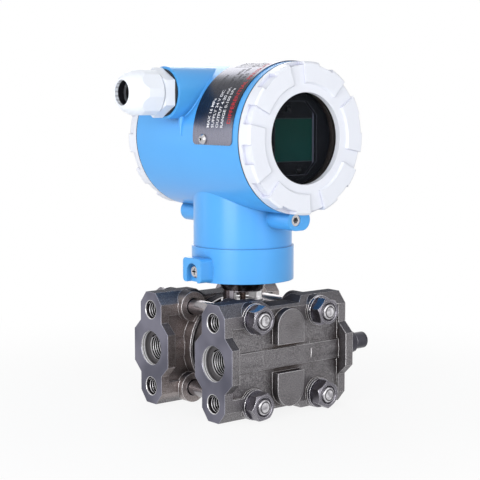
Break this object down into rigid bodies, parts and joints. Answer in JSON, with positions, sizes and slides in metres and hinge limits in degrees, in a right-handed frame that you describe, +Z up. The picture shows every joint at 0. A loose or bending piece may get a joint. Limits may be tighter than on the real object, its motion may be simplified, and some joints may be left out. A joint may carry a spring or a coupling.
{
  "type": "differential pressure transmitter",
  "caption": "Differential pressure transmitter with steel process flanges clamped on a sensor capsule, turnable painted housing, windowed display cover, blind rear cover and cable gland.",
  "frame": {"origin": "centre of the manifold bolt pattern, on the process faces midway between the two ports", "axes": "+Z up along the sensor neck; -X out of the process ports and the cable gland; -Y out of the display"},
  "size_m": [0.1358, 0.1028, 0.1814],
  "materials": {
    "cast_steel": "satin investment-cast stainless steel, machined port and clamp faces",
    "machined_steel": "fine machined stainless steel",
    "bright_steel": "bright rolled and turned stainless steel",
    "neck_steel": "dark satin steel",
    "soft_seal": "black elastomer",
    "blue_paint": "light blue gloss enamel on die-cast aluminium",
    "white_paint": "white gloss enamel on die-cast aluminium",
    "plate_metal": "thin printed metal plate, satin",
    "white_nylon": "smooth white nylon",
    "black_plastic": "black moulded plastic",
    "screen": "dark green liquid crystal screen, smooth",
    "board_green": "green circuit board",
    "clear_glass": "clear flat glass"
  },
  "bodies": {
    "sensor_body": {"process_flange_high": "cast_steel", "process_flange_low": "cast_steel", "capsule_body": "machined_steel", "isolating_diaphragm_high": "bright_steel", "isolating_diaphragm_low": "bright_steel", "process_gasket_high": "soft_seal", "process_gasket_low": "soft_seal", "flange_studs": "machined_steel", "flange_washers": "bright_steel", "flange_nuts": "bright_steel", "vent_seat_high": "machined_steel", "vent_seat_low": "machined_steel", "sensor_neck": "neck_steel", "lead_tube": "machined_steel", "neck_seal": "soft_seal"},
    "housing": {"housing": "blue_paint", "nameplate": "plate_metal", "nameplate_screws": "bright_steel", "ground_screw": "bright_steel", "cover_lock_screws": "bright_steel", "gland_body": "white_nylon", "gland_washer": "soft_seal", "conduit_plug": "white_nylon", "plug_washer": "soft_seal", "display_module": "black_plastic", "display_bezel": "black_plastic", "display_panel": "screen", "display_screws": "bright_steel", "circuit_board": "board_green", "electronics_block": "black_plastic", "terminal_block": "black_plastic", "terminal_screws": "bright_steel"},
    "front_cover_travel": {"front_cover_seal": "soft_seal"},
    "front_cover": {"front_cover": "white_paint", "window_glass": "clear_glass", "window_gasket": "soft_seal", "window_retainer": "black_plastic"},
    "rear_cover_travel": {"rear_cover_seal": "soft_seal"},
    "rear_cover": {"rear_cover": "white_paint"},
    "gland_sleeve": {"gland_seal": "soft_seal"},
    "gland_nut": {"gland_nut": "white_nylon"},
    "vent_screw_high": {"vent_screw_high": "machined_steel"},
    "vent_screw_low": {"vent_screw_low": "machined_steel"}
  },
  "joints": [
    {"name": "housing_turn", "type": "hinge", "parent": "sensor_body", "child": "housing", "pos_m": [0.0412, 0, 0.045], "axis": [0, 0, 1], "range_deg": [-180, 180]},
    {"name": "front_cover_advance", "type": "slide", "parent": "housing", "child": "front_cover_travel", "axis": [0, -1, 0], "range_m": [0, 0.0083]},
    {"name": "front_cover_turn", "type": "hinge", "parent": "front_cover_travel", "child": "front_cover", "pos_m": [0.0412, -0.0436, 0.1125], "axis": [0, -1, 0], "range_deg": [0, 1980]},
    {"name": "rear_cover_advance", "type": "slide", "parent": "housing", "child": "rear_cover_travel", "axis": [0, 1, 0], "range_m": [0, 0.0083]},
    {"name": "rear_cover_turn", "type": "hinge", "parent": "rear_cover_travel", "child": "rear_cover", "pos_m": [0.0412, 0.0436, 0.1125], "axis": [0, 1, 0], "range_deg": [0, 1980]},
    {"name": "gland_sleeve_advance", "type": "slide", "parent": "housing", "child": "gland_sleeve", "axis": [-1, 0, 0], "range_m": [0, 0.003]},
    {"name": "gland_nut_turn", "type": "hinge", "parent": "gland_sleeve", "child": "gland_nut", "pos_m": [-0.02, 0.008, 0.1353], "axis": [-1, 0, 0], "range_deg": [0, 700]},
    {"name": "vent_screw_high_turn", "type": "hinge", "parent": "sensor_body", "child": "vent_screw_high", "pos_m": [0.095, -0.027, 0], "axis": [1, 0, 0], "range_deg": [0, 540]},
    {"name": "vent_screw_low_turn", "type": "hinge", "parent": "sensor_body", "child": "vent_screw_low", "pos_m": [0.095, 0.027, 0], "axis": [1, 0, 0], "range_deg": [0, 540]}
  ],
  "couplings": [
    {"joint": "front_cover_advance", "follows": "front_cover_turn", "m_per_rad": 0.00023873},
    {"joint": "rear_cover_advance", "follows": "rear_cover_turn", "m_per_rad": 0.00023873},
    {"joint": "gland_sleeve_advance", "follows": "gland_nut_turn", "m_per_rad": 0.00023873}
  ]
}
